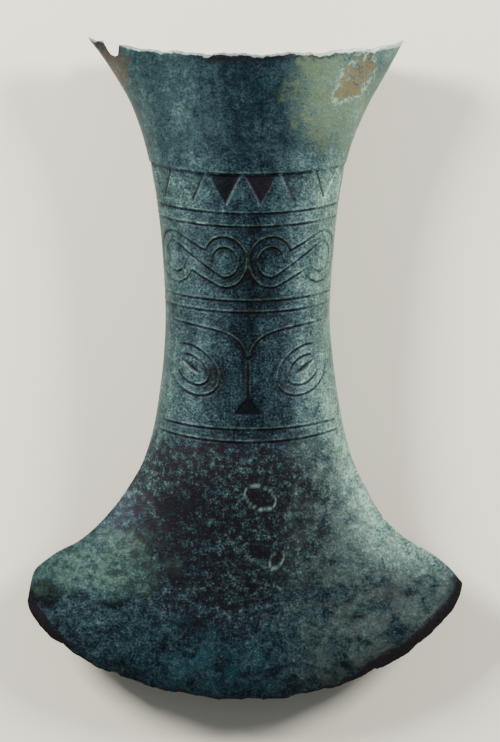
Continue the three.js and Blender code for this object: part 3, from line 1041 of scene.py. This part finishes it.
class Tone(Enum):
    """The patina's colours."""

    # Near black: the darkest patina and the edge's crust, and also the painted shade by the cast lines and in the
    # teeth.
    SOOT = (2, 5, 8)
    BLUE_BLACK = (14, 31, 38)
    SLATE = (42, 62, 65)
    GREY_GREEN = (72, 96, 91)
    PALE_GREEN = (105, 136, 124)
    MINT = (146, 182, 169)
    LEAF_GREEN = (78, 108, 90)
    OLIVE = (112, 128, 92)
    TEAL = (18, 56, 66)
    DRY_GREY = (86, 92, 84)
    PURPLE_BLACK = (18, 13, 21)
    BROWN_BLACK = (17, 10, 13)
    CUPRITE = (78, 56, 42)
    RUST = (128, 98, 58)
    AZURITE = (36, 60, 82)
    LIME_WHITE = (170, 190, 176)

    def colour(self) -> tuple[float, float, float, float]:
        """The tone as the shader takes it."""
        return linear(*self.value)


@dataclass(frozen=True)
class Spot:
    """A ragged oval place on the casting, in millimetres, and how strongly it tells."""

    across: float
    height: float
    wide: float
    high: float
    strength: float = 1.0
    lean: float = 0.0


class Ground:
    """What the patina reads at each point: its place, the casting's parts and noise of several sizes."""

    def __init__(self, bench: Bench) -> None:
        """Sets the levels up on a material's bench.

        Args:
            bench: The material's node bench.
        """
        self.bench = bench
        coords = bench.node("ShaderNodeTexCoord").outputs["Object"]
        self.place = bench.scaled(coords, 1.0 / METRES)
        parts = bench.node("ShaderNodeSeparateXYZ", {}, {0: self.place}).outputs
        self.x, self.y = Level(bench, parts[0]), Level(bench, parts[1])
        self.skin, self.station, self.side = (bench.pick(name) for name in ("skin", "station", "side"))
        self.cloud = bench.noise(self.place, 36.0, 4.0, 0.6, shift=2.0)
        self.mottle = bench.noise(self.place, 10.0, 5.0, 0.62, shift=8.0, twist=0.25)
        self.fleck = bench.noise(self.place, 3.6, 4.0, 0.62, shift=31.0)
        self.grain = bench.noise(self.place, 1.1, 2.0, 0.7, shift=17.0)
        stretched = bench.level("ShaderNodeVectorMath", {"operation": "MULTIPLY"},
                                {0: self.place, 1: (1.0, 0.2, 1.0)})
        self.streak = bench.noise(stretched, 6.0, 4.0, 0.6, shift=5.0)
        self.wander = (self.mottle - 0.5) * 14.0 + (self.cloud - 0.5) * 30.0
        self.blade = self.upward(-30.0, -44.0, 1.0)
        self.collar = self.upward(95.0, 110.0, 0.4)
        self.middle = (self.x - 2.0 + self.wander * 0.5).bump(0.0, 36.0)
        self.right = self.across(18.0, 44.0, 0.35)
        self.left = self.across(-18.0, -40.0, 0.35)
        self.above_edge = self.station - Form.cutting_edge
        self.above_mouth = self.station - Form.mouth

    def across(self, low: float, high: float, waver: float = 0.0) -> Level:
        """A soft step along X, with a place that may wander."""
        return (self.x + self.wander * waver if waver else self.x).step(low, high)

    def upward(self, low: float, high: float, waver: float = 0.0) -> Level:
        """A soft step along Y, with a place that may wander."""
        return (self.y + self.wander * waver if waver else self.y).step(low, high)

    def ragged(self, coarse: float, fine: float = 0.0) -> Level:
        """Noise about 0 of two sizes, for uneven outlines."""
        return (self.mottle - 0.5) * coarse + (self.fleck - 0.5) * fine

    def spot(self, place: Spot, coarse: float, fine: float = 0.0) -> Level:
        """0 at a spot's middle, 1 at its outline and more beyond it.

        Args:
            place: The spot.
            coarse: How ragged coarse noise makes it.
            fine: How ragged finer noise makes it.

        Returns:
            The squared distance in the spot's own size, with the noise.
        """
        up = self.y - place.height
        aside = self.x - place.across - up * place.lean
        return aside * aside / place.wide ** 2 + up * up / place.high ** 2 + self.ragged(coarse, fine)

    def coat(self, tone: Level, share: Level, cover: Tone) -> Level:
        """The colour so far, with another over it where the share is 1."""
        return self.bench.blend(share, tone, cover.colour())


@dataclass(frozen=True)
class BronzePatina:
    """Green to blue-black patina over cast bronze, with painted shade and highlights by the cast lines and a
    painted highlight on the rim.
    """

    name: str = "patinated_bronze"
    roughness: float = 0.44
    metal: float = 0.3
    shine: float = 0.14
    bump_strength: float = 0.55
    bump_depth: float = 1.2
    heart: Spot = Spot(-14, -74, 47.96, 52.92)
    lobe: Spot = Spot(-74, -98, 33.17, 16.12)
    olive: Spot = Spot(44, 136, 17.32, 20.49)
    rust: Spot = Spot(54.45, 144, 7.746, 11.832, lean=0.45)
    brown: Spot = Spot(-66, 148, 7.746, 12.649)
    smears: tuple[Spot, ...] = (
        Spot(1.5, 30, 9, 18, 0.03), Spot(1.5, 48, 5, 9, 0.1), Spot(10, 36, 16, 7, 0.05),
        Spot(-16, -6, 4, 8, 0.12), Spot(14, 54, 7, 6, 0.06), Spot(-35, -70, 12, 9, 0.14),
        Spot(-44, -92, 7, 5, 0.12), Spot(-99, -113, 10, 8, 0.3), Spot(-83, -114, 7, 4, 0.25),
        Spot(-66, -118, 7, 3, 0.22), Spot(72, -113, 12, 5, 0.16), Spot(-38, -84, 22, 28, 0.14),
        Spot(-76, -126, 16, 10, 0.02))
    stops: tuple[tuple[float, Tone], ...] = (
        (0.0, Tone.SOOT), (0.2, Tone.BLUE_BLACK), (0.42, Tone.SLATE), (0.62, Tone.GREY_GREEN),
        (0.8, Tone.PALE_GREEN), (1.0, Tone.MINT))

    def build(self) -> bpy.types.Material:
        """Makes the material.

        Returns:
            The patina's material.
        """
        material = bpy.data.materials.new(self.name)
        material.use_nodes = True
        material.node_tree.nodes.clear()
        bench = Bench(material.node_tree)
        ground = Ground(bench)
        lobe = ground.spot(self.lobe, 5.0, 2.0).step(1.7, 0.1)
        tone = self.graded(bench, self.level(ground, lobe))
        tone = self.blade_marks(ground, tone, lobe)
        tone = self.lines(ground, self.collar_marks(ground, tone))
        # A painted highlight along the top of the rim, wider and stronger towards the right.
        strip = 0.9 + 1.2 * ground.across(20.0, 70.0)
        rim_highlight = (ground.above_mouth + strip + (ground.fleck - 0.5) * 3.0).step(-0.3, 0.4)
        tone = ground.coat(tone, rim_highlight * (0.4 + 0.4 * ground.across(0.0, 60.0)), Tone.LIME_WHITE)
        hollow_tone = self.graded(bench, 0.16 + (ground.mottle - 0.5) * 0.5 + (ground.grain - 0.5) * 0.3)
        tone = bench.blend(ground.skin.step(0.45, 0.05), tone, hollow_tone)

        pits = bench.noise(ground.place, 0.8, 4.0, 0.7, shift=41.0)
        relief = pits * 0.1 + ground.grain * 0.2 + ground.fleck * 0.35
        bump = bench.node("ShaderNodeBump", {}, {
            "Strength": self.bump_strength, "Distance": METRES * self.bump_depth, "Height": relief})
        shader = bench.node("ShaderNodeBsdfPrincipled", {}, {
            "Base Color": tone, "Roughness": self.roughness + (ground.grain - 0.5) * 0.3 + ground.blade * 0.1,
            "Metallic": self.metal, "Normal": bump.outputs[0], "Specular IOR Level": self.shine})
        bench.node("ShaderNodeOutputMaterial", {}, {"Surface": shader.outputs[0]})
        return material

    def graded(self, bench: Bench, level: Any) -> Level:
        """The patina's colour for a level, from dark 0 to pale 1."""
        stops = [(at, tone.colour()) for at, tone in self.stops]
        return bench.level("ShaderNodeValToRGB", {"stops": stops}, {0: level})

    def level(self, ground: Ground, lobe: Level) -> Level:
        """How pale the patina is, from dark 0 to pale 1.

        Args:
            ground: What the patina reads.
            lobe: Where the blade's green left lobe is.

        Returns:
            The level, for the colours of the patina.
        """
        streaks = ground.streak - 0.5
        # Darker in the middle and paler on the right: partly the patina's own tone, partly painted shade where the
        # face turns away from the side lamps and painted light where it turns to the right lamp.
        neck = 0.41 - 0.23 * ground.middle + 0.3 * ground.right + 0.02 * ground.left + streaks * 0.45
        collar = 0.4 - 0.24 * ground.middle + 0.22 * ground.across(22.0, 50.0, 0.4) + streaks * 0.3
        # A painted highlight lies along the blade's right side, above its lobe, where the rounded side turns to
        # the right lamp.
        side_highlight = ground.side.step(0.5, 1.0) * 0.5 + ground.side.step(0.82, 0.97) * 0.5
        shoulder = side_highlight * ground.across(20.0, 40.0) * ground.upward(-112.0, -94.0)
        blade = (0.3 + 0.14 * ground.across(5.0, 60.0, 0.5) * ground.upward(-110.0, -50.0, 0.4) + 0.34 * shoulder
                 + 0.03 * lobe - 0.08 * ground.upward(-120.0, -150.0, 0.4))
        level = neck + ground.collar * (collar - neck)
        level = level + ground.blade * (blade - level)
        level = level + (ground.cloud - 0.5) * 0.3 + (ground.mottle - 0.5) * 0.4
        level = level + (ground.fleck - 0.5) * (0.5 + 0.35 * ground.blade)
        level = level + (ground.grain - 0.5) * (0.95 - 0.45 * ground.collar)
        pocks = ground.bench.cells(ground.place, 2.3).step(0.3, 0.12) * ground.fleck.step(0.46, 0.58)
        # A wider band of painted shade below the cast lines, weaker on the right.
        halo = ground.bench.pick("halo") * ground.mottle.step(0.4, 0.6) * (1.0 - ground.right * 0.6)
        level = level - halo * 0.22 - pocks * 0.16
        # The horn beyond the notch is dark, and so are the smears by the nose and on the blade.
        level = level - ground.across(-62.0, -72.0, 0.2) * ground.upward(146.0, 156.0) * 0.25
        for smear in self.smears:
            level = level - ground.spot(smear, 2.0).step(1.3, 0.1) * smear.strength
        return level

    def blade_marks(self, ground: Ground, tone: Level, lobe: Level) -> Level:
        """The blade's stains: its purple-black heart, teal and green places, and its edge's crust.

        Args:
            ground: What the patina reads.
            tone: The colour so far.
            lobe: Where the blade's green left lobe is.

        Returns:
            The colour with the blade's stains.
        """
        heart = ground.spot(self.heart, 2.4).step(1.8, 0.4)
        flake = (ground.fleck * 0.6 + ground.grain * 0.4).step(0.63, 0.45)
        tone = ground.coat(tone, ground.blade * heart * flake * 0.9, Tone.PURPLE_BLACK)
        depth = ground.upward(-116.0, -150.0, 0.6) * (ground.x + 18.0 + ground.wander).bump(0.0, 62.0)
        tone = ground.coat(tone, ground.blade * depth * ground.mottle.step(0.38, 0.6) * 0.42, Tone.TEAL)
        tone = ground.coat(tone, lobe * (0.3 + 0.7 * ground.fleck.step(0.4, 0.6)) * 0.36, Tone.LEAF_GREEN)
        # Blue specks along the left shoulder, and a drier, greyer right side.
        shoulder = (ground.x + 61.0).bump(0.0, 12.0) * (ground.y + 73.0).bump(0.0, 17.0)
        tone = ground.coat(tone, shoulder * ground.fleck.step(0.5, 0.6) * 0.38, Tone.AZURITE)
        dry = ground.blade * ground.across(12.0, 50.0, 0.5) * ground.mottle.step(0.35, 0.6)
        tone = ground.coat(tone, dry * 0.3, Tone.DRY_GREY)
        # Dark crust along the cutting edge, widest at the tips.
        tone = ground.coat(tone, (ground.above_edge + ground.ragged(12.0)).step(16.0, 3.0) * 0.5, Tone.SOOT)
        crust = 6.0 * ground.across(30.0, 80.0) + 9.0 * ground.across(-82.0, -102.0) + ground.ragged(14.0, 5.0)
        return ground.coat(tone, (ground.above_edge - crust).step(1.2, -1.0) * 0.9, Tone.BROWN_BLACK)

    def collar_marks(self, ground: Ground, tone: Level) -> Level:
        """The collar's stains: olive with rust and blue specks on the right, and brown by the notch.

        Args:
            ground: What the patina reads.
            tone: The colour so far.

        Returns:
            The colour with the collar's stains.
        """
        tone = ground.coat(tone, ground.spot(self.olive, 6.0, 3.0).step(2.2, 0.0) * 0.42, Tone.OLIVE)
        rust = ground.spot(self.rust, 3.4, 3.0)
        tone = ground.coat(tone, rust.bump(1.2, 0.35) * ground.fleck.step(0.4, 0.55) * 0.5, Tone.LIME_WHITE)
        dust = 0.3 + 0.5 * ground.grain.step(0.42, 0.58)
        tone = ground.coat(tone, rust.step(1.05, 0.5) * dust * 0.8, Tone.RUST)
        tone = ground.coat(tone, rust.step(1.0, 0.2) * ground.fleck.step(0.52, 0.6) * 0.8, Tone.AZURITE)
        tone = ground.coat(tone, ground.spot(self.brown, 0.0, 4.0).step(1.4, 0.3) * 0.5, Tone.CUPRITE)
        under_rim = (ground.above_mouth + 3.5 + ground.ragged(18.0, 8.0)).step(-1.5, 2.0)
        stain = under_rim * (ground.x - 12.0).bump(0.0, 56.0).step(0.0, 0.5)
        return ground.coat(tone, stain * 0.8, Tone.BROWN_BLACK)

    def lines(self, ground: Ground, tone: Level) -> Level:
        """Painted shade below the cast lines and along the outer teeth's inner walls, painted highlights on the
        lines' upper flanks, and dark fills in the middle teeth and the face's marks.

        Args:
            ground: What the patina reads.
            tone: The colour so far.

        Returns:
            The colour with the ornament's dirt and wear.
        """
        names = ("line", "under", "over", "sunk", "wall_right", "wall_left", "rim", "dish")
        line, under, over, sunk, wall_right, wall_left, rim, dish = (ground.bench.pick(name) for name in names)
        faint = ground.station.step(94.5, 91.0) * 0.9 + 0.1
        # Painted highlight on the upper flank of each cast line, which faces the lamps.
        tone = ground.coat(tone, over * line * (0.2 + ground.fleck.step(0.4, 0.6) * 0.4), Tone.PALE_GREEN)
        # Painted shade below each cast line, on the side away from the lamps, patchy and stronger in the middle.
        shade_below_lines = under.step(0.15, 0.8) * (0.4 + 0.6 * ground.mottle.step(0.38, 0.56)) * (0.7 + 0.3 * ground.middle)
        tone = ground.coat(tone, shade_below_lines * faint, Tone.SOOT)
        # The middle teeth and the face's sunk marks are filled near black; the outer teeth get painted shade only
        # along their inner walls.
        face = ground.station.step(60.0, 40.0)
        filled = sunk * (ground.across(-19.0, -15.0) * ground.across(16.0, 13.0)).most(face).most(0.2)
        purple = ground.across(-8.0, -4.0) * (1.0 - face) * 0.7
        fill = ground.bench.blend(purple, Tone.SOOT.colour(), Tone.PURPLE_BLACK.colour())
        tone = ground.bench.blend(filled * 0.95, tone, fill)
        # Painted shade on the floor of each outer tooth along its inner wall, which the wall hides from the lamps.
        inner_wall_shade = ((1.0 - wall_left) * ground.across(-12.0, -20.0)
                      + (1.0 - wall_right) * ground.across(12.0, 20.0))
        tone = ground.coat(tone, sunk * inner_wall_shade * (1.0 - face), Tone.SOOT)
        tone = ground.coat(tone, dish * ground.fleck.step(0.3, 0.5) * 0.8, Tone.PURPLE_BLACK)
        return ground.coat(tone, rim * (0.35 + 0.5 * ground.fleck.step(0.42, 0.6)), Tone.PALE_GREEN)


@dataclass(frozen=True)
class PaleGround:
    """A plain warm white floor."""

    colour: tuple[int, int, int] = (222, 218, 199)
    roughness: float = 0.95

    def build(self) -> bpy.types.Material:
        """Makes the material."""
        material = bpy.data.materials.new("pale_ground")
        material.use_nodes = True
        shader = material.node_tree.nodes["Principled BSDF"]
        shader.inputs["Base Color"].default_value = linear(*self.colour)
        shader.inputs["Roughness"].default_value = self.roughness
        return material


# ---- Studio -----------------------------------------------------------------------------------

@dataclass(frozen=True)
class Lamp:
    """One soft square light that looks at the axe head: place and width in millimetres, power in watts."""

    name: str
    place: tuple[float, float, float]
    width: float
    power: float
    colour: tuple[float, float, float]

    def build(self) -> None:
        """Hangs the light in the scene."""
        data = bpy.data.lights.new(self.name, "AREA")
        data.shape, data.size, data.energy, data.color = "SQUARE", self.width * METRES, self.power, self.colour
        light = placed(self.name, data)
        light.location = tuple(value * METRES for value in self.place)
        light.rotation_euler = (-light.location).to_track_quat("-Z", "Y").to_euler()


@dataclass
class Studio:
    """Camera over the lying axe head, pale floor and soft lights from the upper left and right."""

    distance: float = 6000.0
    look_x: float = 2.5
    look_y: float = -1.85
    skin_height: float = 30.0
    view_height: float = 371.0
    view_tilt: float = 1.25
    floor_size: float = 3000.0
    fill_colour: tuple[float, float, float, float] = (0.86, 0.9, 1.0, 1.0)
    fill_strength: float = 0.26
    lamps: tuple[Lamp, ...] = (
        Lamp("left_light", (-950, 700, 780), 420, 53, (1.0, 0.98, 0.94)),
        Lamp("right_light", (1000, 600, 740), 380, 38, (1.0, 0.98, 0.95)))

    def floor(self) -> None:
        """A plain pale floor."""
        half = self.floor_size / 2
        corners = np.array([(-half, -half, 0), (half, -half, 0), (half, half, 0), (-half, half, 0)])
        floor = mesh_object("floor", corners, [(0, 1, 2, 3)])
        floor.data.materials.append(PaleGround().build())

    def camera(self) -> None:
        """The camera, looking straight down on the tilted casting's face."""
        data = bpy.data.cameras.new("camera")
        data.sensor_fit = "VERTICAL"
        data.angle = 2 * math.atan(self.view_height / 2 / self.distance)
        data.clip_end = 20.0
        camera = placed("camera", data)
        tilt = math.radians(self.view_tilt)
        camera.location = (self.look_x * METRES, (self.look_y - self.distance * math.sin(tilt)) * METRES,
                           (self.skin_height + self.distance * math.cos(tilt)) * METRES)
        camera.rotation_euler = (tilt, 0, 0)
        bpy.context.scene.camera = camera

    def fill(self) -> None:
        """A weak, even fill from the room."""
        world = bpy.data.worlds.new("room")
        bpy.context.scene.world = world
        world.use_nodes = True
        back = world.node_tree.nodes["Background"]
        back.inputs["Color"].default_value = self.fill_colour
        back.inputs["Strength"].default_value = self.fill_strength

    def build(self) -> None:
        """Sets up the whole studio."""
        self.floor()
        self.camera()
        for lamp in self.lamps:
            lamp.build()
        self.fill()


def main() -> None:
    """Builds the studio and the casting, and reports each piece."""
    logging.basicConfig(level=logging.INFO, format="%(message)s")
    Studio().build()
    form = Form()
    form.settle()
    casting = Casting(form, Ornament(form), ReliefTree())
    piece = casting.build(BronzePatina().build())
    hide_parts("axe_head")
    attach(piece, "root")
    log.info("%s: %d faces, %d triangles", piece.name, len(piece.data.polygons),
             sum(len(face.vertices) - 2 for face in piece.data.polygons))


if __name__ == "__main__":
    main()
